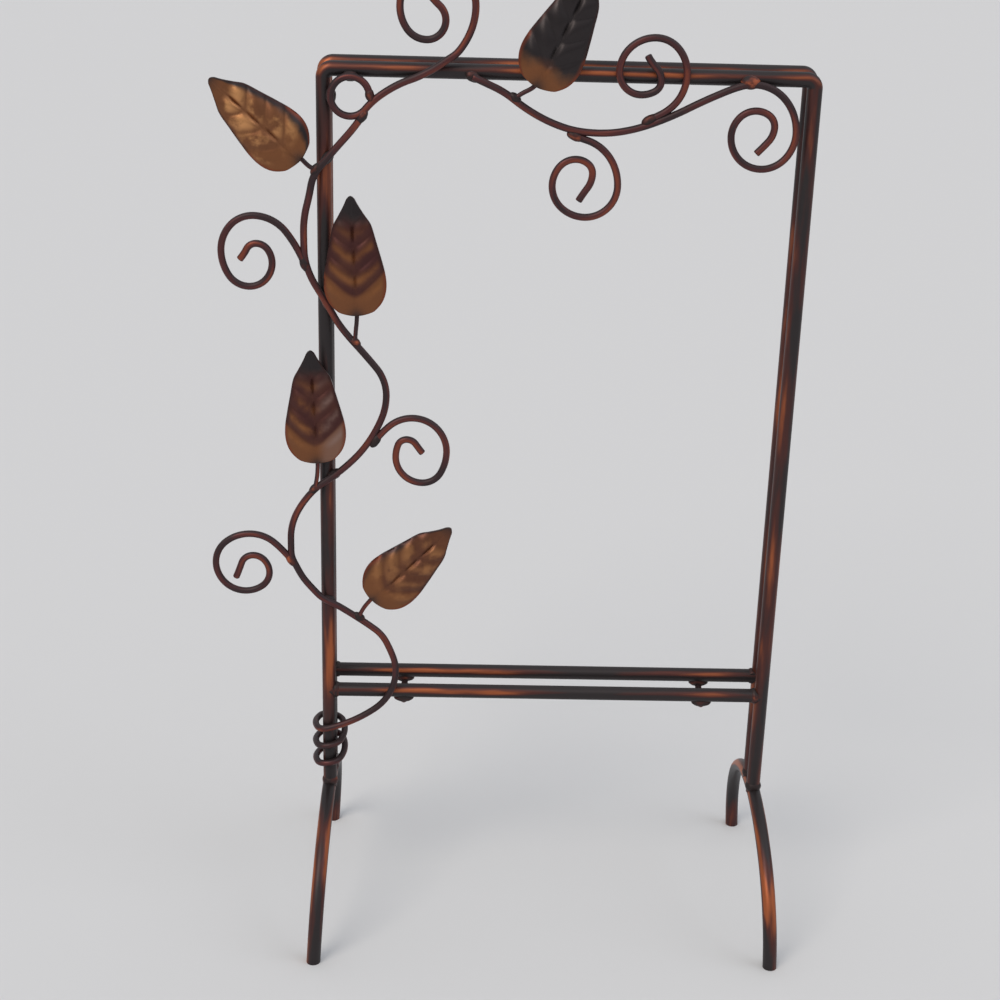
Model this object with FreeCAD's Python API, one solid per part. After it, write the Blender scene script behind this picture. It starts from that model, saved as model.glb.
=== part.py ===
import FreeCAD, Part
import math
import os

# A standing picture frame of bent and welded metal rod. A front and a rear hoop of round rod hold two
# glass panes with the picture between them. They stand on a pair of arched legs, and a wire vine with
# scrolls and stamped leaves climbs the left post and runs under the top rod.
# Millimetres. X runs to the right, Y to the back and Z up. The origin is on the floor, midway between
# the four feet.

# The picture and the two panes that the hoops hold
picture_width = 127.0
picture_height = 178.0
pane_lap = 2.15
slot_depth = 4.3
picture_seat_height = 69.5
pane_clearance = 0.3

# The stock, and the seam left between two pieces that are welded side by side
rod_diameter = 4.0
wire_diameter = 1.9
stalk_diameter = 1.2
weld_seam = 0.1
overrun = 5.0
wire_sides = 8
bend_step_degrees = 30
arch_step_degrees = 22.5
straight_share = 0.000001

# The hoops and their ledge bars
hoop_bend_radius = 3.0
rear_hoop_extra = 0.6
ledge_step = 2.4

# The cross links, which carry the panes under the ledge bars
left_link_place = -41.6
right_link_place = 45.8
link_end = 0.4

# The arched legs
foot_spread = 78.4
arch_height = 37.6
leg_straight = 4.0
arch_crown_radius = 45.0
leg_lean_degrees = 3.4

# The coil at the foot of the vine, which ties it to the left posts
coil_half_width = 4.25
coil_pitch = 5.8
coil_quarter_turns = 10
samples_per_arc = 12

# The vine's stem, in rows of shares of its widest swing and of its rise, and the way it heads in degrees
vine_start_height = 58.4
vine_rise = 178.6
vine_swing = 19.6
stem_start_row_shares = (0.0, 0.0, 15)
low_swing_row_shares = (1.0, 0.106, 90)
low_turn_row_shares = (0.862, 0.1573, 116)
low_leaf_row_shares = (0.457, 0.199, 146)
low_post_row_shares = (0.03, 0.2275, 155)
low_rise_row_shares = (-0.281, 0.2592, 129)
low_scroll_row_shares = (-0.468, 0.295, 115)
left_swing_row_shares = (-0.508, 0.335, 90)
middle_leaf_row_shares = (-0.17, 0.4165, 46)
middle_post_row_shares = (0.12, 0.4415, 38)
middle_scroll_row_shares = (0.625, 0.501, 58)
right_swing_row_shares = (0.85, 0.573, 90)
upper_leaf_row_shares = (0.42, 0.6535, 132)
upper_turn_row_shares = (0.24, 0.6775, 127)
upper_post_row_shares = (0.05, 0.712, 120)
upper_scroll_row_shares = (-0.225, 0.77, 107)
upper_swing_row_shares = (-0.265, 0.822, 90)
upper_rise_row_shares = (-0.215, 0.863, 75)
corner_leaf_row_shares = (-0.0714, 0.9138, 56)
corner_post_row_shares = (0.06, 0.931, 50)
stem_end_row_shares = (0.52, 0.9922, 56)

# The branch under the top rod, in rows of shares of half the front hoop's width and of its own drop
branch_drop = 14.4
branch_start_row_shares = (-0.395, 0.07, -23)
top_leaf_row_shares = (-0.228, 0.44, -37)
drop_scroll_row_shares = (-0.02, 0.915, -17)
branch_low_row_shares = (0.125, 1.0, 0)
rise_scroll_row_shares = (0.325, 0.835, 20)
branch_top_row_shares = (0.64, 0.2, 23)
branch_crest_row_shares = (0.745, 0.085, 0)

# The ring in the corner, curled from the end of the top scroll's wire
ring_radius = 5.0
ring_side_gap = 7.0
ring_drop = 6.6
ring_start_degrees = 15
ring_turn_degrees = 305

# Scrolls, in rows of how far right of and above the joint the wire passes, as shares of scroll_height,
# and the way it heads there. The top scroll's rows are from the ring's centre.
scroll_height = 20.0
branch_curl_shares = [
    (0.585, -0.62, -90), (0.16, -1.075, 180), (-0.255, -0.66, 90), (0.05, -0.33, 0), (0.3, -0.535, -90),
    (0.085, -0.88, -134),
]
top_scroll_shares = [
    (0.6125, 0.16, 27), (0.9175, 0.29, 26), (1.1725, 0.44, 36), (1.3975, 0.615, 52), (1.5875, 1.145, 90),
    (1.1025, 1.63, 180), (0.6325, 1.135, -90), (0.9725, 0.73, 0), (1.2125, 0.97, 90), (0.9825, 1.31, 128),
]
upper_scroll_shares = [
    (-0.015, -0.005, 110), (-0.695, 0.67, 180), (-1.13, 0.195, -90), (-0.77, -0.28, 0), (-0.46, 0.045, 90),
    (-0.665, 0.3, 180), (-0.89, 0.08, -131),
]
middle_scroll_shares = [
    (0.0475, -0.05, 58), (0.5825, 0.325, 0), (1.0525, -0.155, -90), (0.7225, -0.615, 180),
    (0.3525, -0.24, 90), (0.5025, 0.015, 0), (0.7225, -0.18, -52),
]
low_scroll_shares = [
    (-0.01, -0.01, 125), (-0.605, 0.415, 180), (-1.1, -0.03, -90), (-0.695, -0.455, 0), (-0.35, -0.165, 90),
    (-0.575, 0.09, 180), (-0.825, -0.255, -113),
]
drop_scroll_shares = [
    (0.105, -0.09, -20), (0.495, -0.255, -38), (0.73, -0.75, -90), (0.315, -1.16, 180), (-0.125, -0.75, 90),
    (0.175, -0.405, 0), (0.395, -0.59, -90), (0.225, -0.95, -120),
]
rise_scroll_shares = [
    (-0.035, 0.04, 30), (0.28, 0.23, 42), (0.4575, 0.64, 90), (0.035, 1.095, 180), (-0.41, 0.67, -90),
    (-0.12, 0.38, 0), (0.13, 0.555, 90), (-0.06, 0.875, 120),
]

# The stamped leaves, in places from the base to the tip and across, with the half width at each place
leaf_length = 32.0
leaf_width = 16.6
leaf_thickness = 0.8
leaf_dome = 2.0
leaf_groove = 0.5
stalk_lap = 2.0
leaf_place_shares = [0.0, 0.04, 0.12, 0.22, 0.34, 0.48, 0.62, 0.76, 0.84, 0.92, 1.0]
leaf_half_width_shares = [0.3, 0.58, 0.86, 0.99, 0.98, 0.87, 0.74, 0.6, 0.42, 0.24, 0.09]
leaf_across_shares = [-1.0, -0.6, -0.16, 0.0, 0.16, 0.6, 1.0]

# Where each leaf's base lies from its stalk's foot, right and up, as shares of the leaf's length,
# and its own length as such a share. The stalk starts one way, and ends as the leaf points.
corner_leaf_reach_shares = (-0.125, 0.0875, 0.955)
upper_leaf_reach_shares = (0.019, 0.256, 1.0)
middle_leaf_reach_shares = (0.0375, 0.269, 1.0)
low_leaf_reach_shares = (0.119, 0.203, 0.98)
top_leaf_reach_shares = (0.175, 0.106, 1.0)
corner_leaf_degrees = (165, 139)
upper_leaf_degrees = (88, 93)
middle_leaf_degrees = (72, 93)
low_leaf_degrees = (75, 45)
top_leaf_degrees = (42, 64)

# Weld beads: how far a collar stands out from its rod and along it, and each bead's length and breadth
collar_proud = 0.6
collar_run = 1.3
link_bead = (5.6, 2.6)
joint_bead = (4.6, 2.4)
knot_bead = (3.6, 2.2)
tack_bead = (4.0, 2.8)
bead_sides = 6
bead_shares = [(-1, 0.5), (-0.35, 1), (0.35, 1), (1, 0.5)]
crumb_share = 0.1

# Sizes that follow
rod_radius = rod_diameter / 2
wire_radius = wire_diameter / 2
stalk_radius = stalk_diameter / 2
hoop_y = (slot_depth + rod_diameter) / 2
front_post_x = picture_width / 2 - pane_lap + rod_radius
rear_post_x = front_post_x + rear_hoop_extra / 2
front_top_z = picture_seat_height + picture_height - rear_hoop_extra / 2
rear_top_z = front_top_z + rear_hoop_extra
ledge_middle_z = picture_seat_height + rod_radius - ledge_step * slot_depth / (4 * hoop_y)
front_ledge_z = ledge_middle_z - ledge_step / 2
rear_ledge_z = ledge_middle_z + ledge_step / 2
vine_y = -(hoop_y + rod_radius + weld_seam + wire_radius)
vine_post_x = -(front_post_x + rear_post_x) / 2
leaf_y = vine_y - wire_radius - weld_seam
stalk_y = vine_y - wire_radius + stalk_radius

to_right = FreeCAD.Vector(1, 0, 0)
to_back = FreeCAD.Vector(0, 1, 0)
to_front = FreeCAD.Vector(0, -1, 0)
upwards = FreeCAD.Vector(0, 0, 1)


def place(x, z, y=vine_y):
    """A point, in the vine's plane unless another depth is given."""
    return FreeCAD.Vector(x, y, z)


def way(degrees):
    """The direction that heads degrees up from +X, in a plane across Y."""
    turn = math.radians(degrees)
    return FreeCAD.Vector(math.cos(turn), 0, math.sin(turn))


def tangent_arc(start, corner, end):
    """The arc from start to end that is tangent to the lines to corner. With no turn it is a straight run."""
    middle = (start + end) * 0.5
    out = corner - middle
    half_chord = (end - start).Length / 2
    if out.Length < straight_share * half_chord:
        return Part.LineSegment(start, end).toShape()
    half_turn = math.atan2(out.Length, half_chord)
    crest = middle + out.normalize() * (half_chord * math.tan(half_turn / 2))
    return Part.Arc(start, crest, end).toShape()


def arc_pair(start, start_way, end, end_way):
    """Two arcs that meet smoothly and join start to end along the ways given."""
    span = end - start
    along = span.dot(start_way + end_way)
    bend = 2 * (1 - start_way.dot(end_way))
    if bend < straight_share:
        reach = span.dot(span) / (2 * along)
    else:
        reach = (math.sqrt(along * along + bend * span.dot(span)) - along) / bend
    first_corner = start + start_way * reach
    second_corner = end - end_way * reach
    meeting = (first_corner + second_corner) * 0.5
    return [tangent_arc(start, first_corner, meeting), tangent_arc(meeting, second_corner, end)]


def path_through(stations):
    """Edges through stations, each a point and a way."""
    edges = []
    for (start, start_way), (end, end_way) in zip(stations, stations[1:]):
        edges += arc_pair(start, start_way, end, end_way)
    return edges


def scroll_stations(origin, rows_shares):
    """Stations of a scroll from its rows."""
    stations = []
    for right, up, heading in rows_shares:
        stations.append((origin + place(right, up, 0) * scroll_height, way(heading)))
    return stations


def wire_section(point, along, across, radius):
    """The outline of drawn wire, with flats in place of the round."""
    out = along.cross(across)
    corners = []
    for corner in range(wire_sides + 1):
        turn = 2 * math.pi * corner / wire_sides
        corners.append(point + across * (radius * math.cos(turn)) + out * (radius * math.sin(turn)))
    return Part.makePolygon(corners)


def rod_section(point, along, across, radius):
    """The round outline of rod."""
    circle = Part.Circle(FreeCAD.Vector(0, 0, 0), upwards, radius).toShape()
    circle.Placement = FreeCAD.Placement(point, FreeCAD.Rotation(across, along.cross(across), along, "ZXY"))
    return Part.Wire([circle])


def stock_along(edges, section, radius, across=to_back, step_degrees=bend_step_degrees):
    """Stock along a flat path, with its bends made in short steps. The path lies square to across."""
    first = edges[0]
    outset = first.FirstParameter
    sections = [section(first.valueAt(outset), first.tangentAt(outset), across, radius)]
    for edge in edges:
        turn = edge.tangentAt(edge.FirstParameter).getAngle(edge.tangentAt(edge.LastParameter))
        steps = max(1, math.ceil(math.degrees(turn) / step_degrees))
        for step in range(1, steps + 1):
            there = edge.FirstParameter + (edge.LastParameter - edge.FirstParameter) * step / steps
            sections.append(section(edge.valueAt(there), edge.tangentAt(there), across, radius))
    return Part.makeLoft(sections, True, True)


def bent_wire(edges, radius=wire_radius):
    """Drawn wire along a path in the vine's plane."""
    return stock_along(edges, wire_section, radius)


def largest(shape):
    """The largest solid of a shape."""
    return max(shape.Solids, key=lambda solid: solid.Volume)


def trimmed(bead, neighbours):
    """A bead's solids outside the pieces that it joins, without crumbs."""
    for neighbour in neighbours:
        bead = bead.cut(neighbour)
    least = crumb_share * largest(bead).Volume
    return [solid for solid in bead.Solids if solid.Volume > least]


def many_sided(centre, along, radius):
    """A flat outline square to along, for a bead."""
    across = to_front if abs(along.dot(to_front)) < math.sqrt(0.5) else upwards
    out = along.cross(across).normalize()
    across = out.cross(along)
    corners = []
    for corner in range(bead_sides + 1):
        turn = 2 * math.pi * (corner + 0.5) / bead_sides
        corners.append(centre + across * (radius * math.cos(turn)) + out * (radius * math.sin(turn)))
    return Part.makePolygon(corners)


def bead(centre, along, size, neighbours):
    """A weld bead on centre, with its length along the way given."""
    length, breadth = size
    sections = []
    for share, width_share in bead_shares:
        sections.append(many_sided(centre + along * (share * length / 2), along, width_share * breadth / 2))
    return trimmed(Part.makeLoft(sections, True, True), neighbours)


def collar(seat, along, neighbours):
    """A weld round the end of a rod that meets another at seat and runs along the way given."""
    corner_share = 1 / math.cos(math.pi / bead_sides)
    foot = many_sided(seat - along * rod_radius, along, (rod_radius + collar_proud) * corner_share)
    waist = many_sided(seat, along, (rod_radius + collar_proud) * corner_share)
    rim = many_sided(seat + along * collar_run, along, (rod_radius + weld_seam) * corner_share)
    return trimmed(Part.makeLoft([foot, waist, rim], True, True), neighbours)


def save(name, shape):
    """Write a finished piece to its file."""
    shape.exportStep("parts/" + name + ".step")


def save_group(name, solids):
    """Write like solids to one file."""
    save(name, Part.makeCompound(solids))


os.makedirs("parts", exist_ok=True)


# Arched legs: rod bent to an arch that stands across the depth of the frame and leans a little outwards

def leg_arch(side):
    half_spread = foot_spread / 2
    shoulder_height = arch_height - leg_straight
    crown_drop = arch_height - arch_crown_radius
    side_radius = (2 * shoulder_height * arch_crown_radius - half_spread**2 - shoulder_height**2) / (
        2 * (arch_crown_radius - half_spread)
    )
    side_centre_y = half_spread - side_radius
    join_turn = math.atan2(leg_straight - crown_drop, side_centre_y)
    crown_top = FreeCAD.Vector(0, 0, arch_height)

    def upright(y, z):
        return FreeCAD.Vector(0, y, z)

    def on_side(turn, sign):
        out = side_centre_y + side_radius * math.cos(turn)
        return upright(sign * out, leg_straight + side_radius * math.sin(turn))

    front_ankle = upright(-half_spread, leg_straight)
    rear_ankle = upright(half_spread, leg_straight)
    edges = [
        Part.LineSegment(upright(-half_spread, -overrun), front_ankle).toShape(),
        Part.Arc(front_ankle, on_side(join_turn / 2, -1), on_side(join_turn, -1)).toShape(),
        Part.Arc(on_side(join_turn, -1), crown_top, on_side(join_turn, 1)).toShape(),
        Part.Arc(on_side(join_turn, 1), on_side(join_turn / 2, 1), rear_ankle).toShape(),
        Part.LineSegment(rear_ankle, upright(half_spread, -overrun)).toShape(),
    ]
    arch = stock_along(edges, rod_section, rod_radius, to_right, arch_step_degrees)
    arch.rotate(crown_top, to_back, -side * leg_lean_degrees)
    arch.translate(to_right * (side * rear_post_x))
    room = foot_spread + picture_width
    floor_block = Part.makeBox(2 * room, 2 * room, room, FreeCAD.Vector(-room, -room, -room))
    return largest(arch.cut(floor_block))


left_leg = leg_arch(-1)
right_leg = leg_arch(1)
save("left_leg_arch", left_leg)
save("right_leg_arch", right_leg)


# Hoops: one rod each, bent down at both top corners, with the posts saddled on the crowns of the legs

def hoop(y, post_x, top_z):
    left, right = -post_x, post_x
    bend = hoop_bend_radius
    slack = bend * (1 - math.sqrt(0.5))
    left_shoulder = place(left, top_z - bend, y)
    left_top = place(left + bend, top_z, y)
    right_top = place(right - bend, top_z, y)
    right_shoulder = place(right, top_z - bend, y)
    edges = [
        Part.LineSegment(place(left, arch_height, y), left_shoulder).toShape(),
        Part.Arc(left_shoulder, place(left + slack, top_z - slack, y), left_top).toShape(),
        Part.LineSegment(left_top, right_top).toShape(),
        Part.Arc(right_top, place(right - slack, top_z - slack, y), right_shoulder).toShape(),
        Part.LineSegment(right_shoulder, place(right, arch_height, y)).toShape(),
    ]
    rod = stock_along(edges, rod_section, rod_radius)
    return largest(rod.cut(left_leg).cut(right_leg))


front_hoop = hoop(-hoop_y, front_post_x, front_top_z)
rear_hoop = hoop(hoop_y, rear_post_x, rear_top_z)
save("front_hoop", front_hoop)
save("rear_hoop", rear_hoop)


# Ledge bars: straight rod, coped at both ends to fit between the posts of its own hoop

def ledge_bar(y, post_x, z, posts):
    bar = Part.makeCylinder(rod_radius, 2 * post_x, place(-post_x, z, y), to_right)
    return largest(bar.cut(posts))


front_ledge_bar = ledge_bar(-hoop_y, front_post_x, front_ledge_z, front_hoop)
rear_ledge_bar = ledge_bar(hoop_y, rear_post_x, rear_ledge_z, rear_hoop)
save("front_ledge_bar", front_ledge_bar)
save("rear_ledge_bar", rear_ledge_bar)


# Cross links: short wires under both ledge bars, on which the panes stand

def cross_link(x):
    along = FreeCAD.Vector(0, 2 * hoop_y, ledge_step).normalize()
    drop = (rod_radius + weld_seam + wire_radius) / along.y
    start = place(x, front_ledge_z - drop, -hoop_y) - along * link_end
    end = place(x, rear_ledge_z - drop, hoop_y) + along * link_end
    return Part.makeCylinder(wire_radius, (end - start).Length, start, along)


left_link = cross_link(left_link_place)
right_link = cross_link(right_link_place)
save("left_cross_link", left_link)
save("right_cross_link", right_link)


# Top scroll: one wire, curled to a ring in the corner at one end and to a scroll above the top rod

ring_centre = place(-front_post_x + ring_side_gap, front_top_z - ring_drop)
ring_quarters = 4
ring_stations = []
for quarter in range(ring_quarters + 1):
    turned = ring_start_degrees + ring_turn_degrees * quarter / ring_quarters
    ring_stations.append((ring_centre + way(turned) * ring_radius, way(turned + 90)))
top_scroll = bent_wire(path_through(ring_stations + scroll_stations(ring_centre, top_scroll_shares)))
save("top_scroll", top_scroll)


# Vine stem: one wire, wound round both left posts at its foot and swung from side to side of the post

def stem_station(row_shares):
    across, up, heading = row_shares
    return place(vine_post_x + across * vine_swing, vine_start_height + up * vine_rise), way(heading)


def coil_stations():
    """Stations of the coil, from the stem's start in front of the posts down to its low end."""
    round_posts = [(0, -1, -1, 0), (-1, 0, 0, 1), (0, 1, 1, 0), (1, 0, 0, -1)]
    lap = 4 * math.hypot(coil_half_width, vine_y)
    fall = coil_pitch / lap
    start, start_way = stem_station(stem_start_row_shares)
    stations = [(start, start_way * -1)]
    for quarter in range(1, coil_quarter_turns + 1):
        right, back, right_way, back_way = round_posts[quarter % 4]
        drop = coil_pitch * quarter / 4
        point = start + FreeCAD.Vector(right * coil_half_width, (back + 1) * -vine_y, -drop)
        stations.append((point, FreeCAD.Vector(right_way, back_way, -fall).normalize()))
    return stations


def least_coil_gap(edges):
    """The narrowest clear space between neighbouring turns, measured on points along the coil."""
    points = []
    for edge in edges:
        points += edge.discretize(Number=samples_per_arc)
    half_turn = 4 * samples_per_arc
    gaps = []
    for first, point in enumerate(points):
        gaps += [(point - other).Length for other in points[first + half_turn:]]
    return min(gaps) - wire_diameter


stem_rows_shares = [
    stem_start_row_shares, low_swing_row_shares, low_turn_row_shares, low_leaf_row_shares,
    low_post_row_shares, low_rise_row_shares, low_scroll_row_shares, left_swing_row_shares, middle_leaf_row_shares,
    middle_post_row_shares, middle_scroll_row_shares, right_swing_row_shares, upper_leaf_row_shares,
    upper_turn_row_shares, upper_post_row_shares, upper_scroll_row_shares, upper_swing_row_shares,
    upper_rise_row_shares, corner_leaf_row_shares, corner_post_row_shares, stem_end_row_shares,
]
coil_edges = path_through(coil_stations())
stem_start, stem_start_way = stem_station(stem_start_row_shares)
coil_outline = wire_section(stem_start, stem_start_way, to_back, wire_radius)
coil = Part.Wire(coil_edges).makePipeShell([coil_outline], True, False)
swung_stem = bent_wire(path_through([stem_station(row) for row in stem_rows_shares]))
vine_stem = largest(coil.fuse(swung_stem).cut(top_scroll))
save("vine_stem", vine_stem)
print("least gap in the coil", round(least_coil_gap(coil_edges), 2))


# Branch: a wire from the top rod, down under it and up again, which ends in a curl by the right post

def branch_station(row_shares):
    across, down, heading = row_shares
    return place(across * front_post_x, front_top_z - down * branch_drop), way(heading)


branch_rows_shares = [
    branch_start_row_shares, top_leaf_row_shares, drop_scroll_row_shares, branch_low_row_shares,
    rise_scroll_row_shares, branch_top_row_shares, branch_crest_row_shares,
]
branch_stations = [branch_station(row) for row in branch_rows_shares]
crest = branch_stations[-1][0]
top_branch = bent_wire(path_through(branch_stations + scroll_stations(crest, branch_curl_shares)))
save("top_branch", top_branch)


# Scrolls: wires coped and welded to the side of the stem or the branch at one end, and curled at the other

scroll_table = [
    ("upper_scroll", vine_stem, stem_station, upper_scroll_row_shares, upper_scroll_shares),
    ("middle_scroll", vine_stem, stem_station, middle_scroll_row_shares, middle_scroll_shares),
    ("low_scroll", vine_stem, stem_station, low_scroll_row_shares, low_scroll_shares),
    ("drop_scroll", top_branch, branch_station, drop_scroll_row_shares, drop_scroll_shares),
    ("rise_scroll", top_branch, branch_station, rise_scroll_row_shares, rise_scroll_shares),
]
knots = []
for name, carrier, station, row, rows_shares in scroll_table:
    joint = station(row)[0]
    stations = scroll_stations(joint, rows_shares)
    start, start_way = stations[0]
    scroll = largest(bent_wire(path_through(stations)).cut(carrier))
    save(name, scroll)
    knots += bead(start + start_way * wire_radius, start_way, joint_bead, [carrier, scroll])


# Leaves: sheet stamped to a pointed outline, domed to the front and creased along the middle

def flat_sided(outlines):
    """A solid with flat triangular sides between closed outlines of as many corners each."""
    faces = []

    def side(*corners):
        faces.append(Part.Face(Part.makePolygon(list(corners) + [corners[0]])))

    for lower, upper in zip(outlines, outlines[1:]):
        for corner in range(len(lower)):
            after = (corner + 1) % len(lower)
            side(lower[corner], lower[after], upper[after])
            side(lower[corner], upper[after], upper[corner])
    for outline in (outlines[0], outlines[-1]):
        half = len(outline) // 2
        for corner in range(half - 1):
            side(outline[corner], outline[corner + 1], outline[-2 - corner])
            side(outline[corner], outline[-2 - corner], outline[-1 - corner])
    solid = Part.makeSolid(Part.makeShell(faces))
    if solid.Volume < 0:
        solid.reverse()
    return solid


def stamped_leaf(base, degrees, length):
    """A leaf from its base, by outlines square to its length."""
    along = way(degrees) * length
    across = way(degrees - 90) * (leaf_width / 2)
    outlines = []
    for place_share, width_share in zip(leaf_place_shares, leaf_half_width_shares):
        back_row = []
        for across_share in leaf_across_shares:
            out_share = width_share * across_share
            rise = leaf_dome * (math.sin(math.pi * math.sqrt(place_share)) - out_share**2)
            if across_share == 0:
                rise -= leaf_groove * width_share
            back_row.append(base + along * place_share + across * out_share + to_front * rise)
        front_row = [point + to_front * leaf_thickness for point in back_row]
        outlines.append(back_row + front_row[::-1])
    return flat_sided(outlines)


corner_foot = stem_station(corner_leaf_row_shares)
upper_foot = stem_station(upper_leaf_row_shares)
middle_foot = stem_station(middle_leaf_row_shares)
low_foot = stem_station(low_leaf_row_shares)
top_foot = branch_station(top_leaf_row_shares)
leaf_table = [
    ("corner_leaf", vine_stem, corner_foot, corner_leaf_reach_shares, corner_leaf_degrees),
    ("upper_leaf", vine_stem, upper_foot, upper_leaf_reach_shares, upper_leaf_degrees),
    ("middle_leaf", vine_stem, middle_foot, middle_leaf_reach_shares, middle_leaf_degrees),
    ("low_leaf", vine_stem, low_foot, low_leaf_reach_shares, low_leaf_degrees),
    ("top_leaf", top_branch, top_foot, top_leaf_reach_shares, top_leaf_degrees),
]
for name, carrier, (foot, foot_way), (right, up, length_share), (stalk_degrees, degrees) in leaf_table:
    reach = FreeCAD.Vector(right, 0, up) * leaf_length
    leaf_depth = to_back * (leaf_y - vine_y)
    leaf = stamped_leaf(foot + reach + leaf_depth, degrees, length_share * leaf_length)
    stalk_depth = to_back * (stalk_y - vine_y)
    stalk_way = way(stalk_degrees)
    stalk_end = foot + reach + way(degrees) * stalk_lap + stalk_depth
    stalk_path = path_through([(foot + stalk_depth, stalk_way), (stalk_end, way(degrees))])
    stalk = bent_wire(stalk_path, stalk_radius)
    stem_run = 2 * wire_diameter
    stem_room = Part.makeCylinder(wire_radius + weld_seam, 2 * stem_run, foot - foot_way * stem_run, foot_way)
    stalk = largest(stalk.cut(stem_room).cut(leaf))
    save(name, leaf)
    save(name + "_stalk", stalk)
    knots += bead(foot + stalk_way * wire_radius, foot_way, knot_bead, [carrier, stalk])

stem_end, stem_end_way = stem_station(stem_end_row_shares)
knots += bead(stem_end, stem_end_way, joint_bead, [vine_stem, top_scroll])
ring_start, ring_start_way = ring_stations[0]
knots += bead(ring_start - ring_start_way * wire_radius, ring_start_way, knot_bead, [top_scroll])
save_group("vine_weld_knots", knots)


# Tack welds: beads behind the vine, where it crosses the post, the top rod and the ring's two sides

tack_depth = to_back * (wire_radius + weld_seam)
tack_table = [
    (stem_station(low_post_row_shares), vine_stem),
    (stem_station(middle_post_row_shares), vine_stem),
    (stem_station(upper_post_row_shares), vine_stem),
    (stem_station(corner_post_row_shares), vine_stem),
    (branch_station(branch_start_row_shares), top_branch),
    (branch_station(branch_crest_row_shares), top_branch),
    ((ring_centre - to_right * ring_radius, upwards), top_scroll),
    ((ring_centre + upwards * ring_radius, to_right), top_scroll),
]
tacks = []
for (at, at_way), wire in tack_table:
    tacks += bead(at + tack_depth, at_way, tack_bead, [wire, front_hoop])
save_group("vine_tack_welds", tacks)


# Frame welds: collars where the posts stand on the legs and the bars meet the posts, beads at the links

room_depth = slot_depth + 2 * pane_clearance
pane_room = Part.makeBox(
    2 * picture_width, room_depth, rear_top_z, FreeCAD.Vector(-picture_width, -room_depth / 2, 0)
)
frame_welds = []
frame_table = [
    (front_hoop, front_ledge_bar, -hoop_y, front_post_x, front_ledge_z),
    (rear_hoop, rear_ledge_bar, hoop_y, rear_post_x, rear_ledge_z),
]
side_table = [(-1, left_leg, left_link, left_link_place), (1, right_leg, right_link, right_link_place)]
for posts, bar, y, post_x, bar_z in frame_table:
    for side, leg, link, link_x in side_table:
        post_foot = place(side * post_x, arch_height + rod_radius, y)
        bar_end = place(side * (post_x - rod_radius), bar_z, y)
        frame_welds += collar(post_foot, upwards, [posts, leg, pane_room])
        frame_welds += collar(bar_end, to_right * -side, [posts, bar, pane_room])
        frame_welds += bead(place(link_x, bar_z - rod_radius, y), to_right, link_bead, [bar, link])
save_group("frame_weld_beads", frame_welds)
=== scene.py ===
import bmesh
import bpy
import math
from mathutils import Matrix, Vector


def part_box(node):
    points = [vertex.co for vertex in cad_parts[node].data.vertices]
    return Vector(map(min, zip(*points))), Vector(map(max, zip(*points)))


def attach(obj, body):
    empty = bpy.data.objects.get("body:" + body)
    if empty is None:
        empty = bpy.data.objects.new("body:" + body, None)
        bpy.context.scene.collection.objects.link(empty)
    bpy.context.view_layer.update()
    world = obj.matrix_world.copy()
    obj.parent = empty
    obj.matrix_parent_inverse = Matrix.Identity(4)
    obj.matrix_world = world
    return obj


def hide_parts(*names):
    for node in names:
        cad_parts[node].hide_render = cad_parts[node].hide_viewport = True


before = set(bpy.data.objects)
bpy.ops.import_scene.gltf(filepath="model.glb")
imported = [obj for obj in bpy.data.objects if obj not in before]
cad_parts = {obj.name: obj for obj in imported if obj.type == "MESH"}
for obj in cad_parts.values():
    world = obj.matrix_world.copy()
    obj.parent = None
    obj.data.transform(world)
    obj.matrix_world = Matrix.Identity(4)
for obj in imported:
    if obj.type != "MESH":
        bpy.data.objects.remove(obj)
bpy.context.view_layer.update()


# Arched legs: two mild steel rods bent to an arch across the frame's depth, leaning a little outwards.
# Their ends are cut flat on the floor, and the hoops are welded on top. The steel is coloured by a
# coppery lacquer that was rubbed back unevenly, so it runs from near black to rust along each rod, with
# a painted highlight round the upper side of each rod and painted shade beneath it.

mm = 0.001
up = Vector((0, 0, 1))
down = Vector((0, 0, -1))
to_right = Vector((1, 0, 0))
to_back = Vector((0, 1, 0))
front_low, front_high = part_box("front_hoop")
rear_low, rear_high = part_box("rear_hoop")
rod_radius = (front_high.y - front_low.y) / 2
rear_post_x = rear_high.x - rod_radius
foot_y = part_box("right_leg_arch")[1].y - rod_radius
crown_z = front_low.z
leg_straight = 4 * mm
crown_radius = 45 * mm
leg_lean = math.radians(3.4)
overrun = 5 * mm
rod_sides = 32
arc_steps = 10
least_turn = 1e-6
tip_length_share = 0.5
tip_width_share = 0.8
crease = math.radians(50)

# How the lacquer is rubbed, as a level from 0 to 1 that also carries the painted highlight and shade: how
# much it changes round the stock, what a scorch adds, and the levels at which brown and then rust begin
# and are full.
rub_round = 0.55
rub_detail = 3.0
rub_breakup = 0.45
scorch_rub = 0.2
brown_from = 0.37
brown_full = 0.52
rust_and_highlight_from = 0.50
rust_and_highlight_full = 0.68
rougher_by = 0.12
smoother_by = 0.08
lacquer_metallic = 0.6
lacquer_grain = 0.35 * mm
lacquer_grain_detail = 2.0
lacquer_depth = 0.02 * mm
lacquer_bump = 0.35


def linear(colour):
    """An sRGB hex colour as linear values."""
    channels = [int(colour[place:place + 2], 16) / 255 for place in (1, 3, 5)]
    return [c / 12.92 if c <= 0.04045 else ((c + 0.055) / 1.055) ** 2.4 for c in channels] + [1]


def add(tree, kind, inputs=None, **settings):
    """A node with its settings. Each input is given a value, or the socket that it reads."""
    node = tree.nodes.new(kind)
    for name, value in settings.items():
        setattr(node, name, value)
    for name, value in (inputs or {}).items():
        if isinstance(value, bpy.types.NodeSocket):
            tree.links.new(value, node.inputs[name])
        else:
            node.inputs[name].default_value = value
    return node
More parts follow.
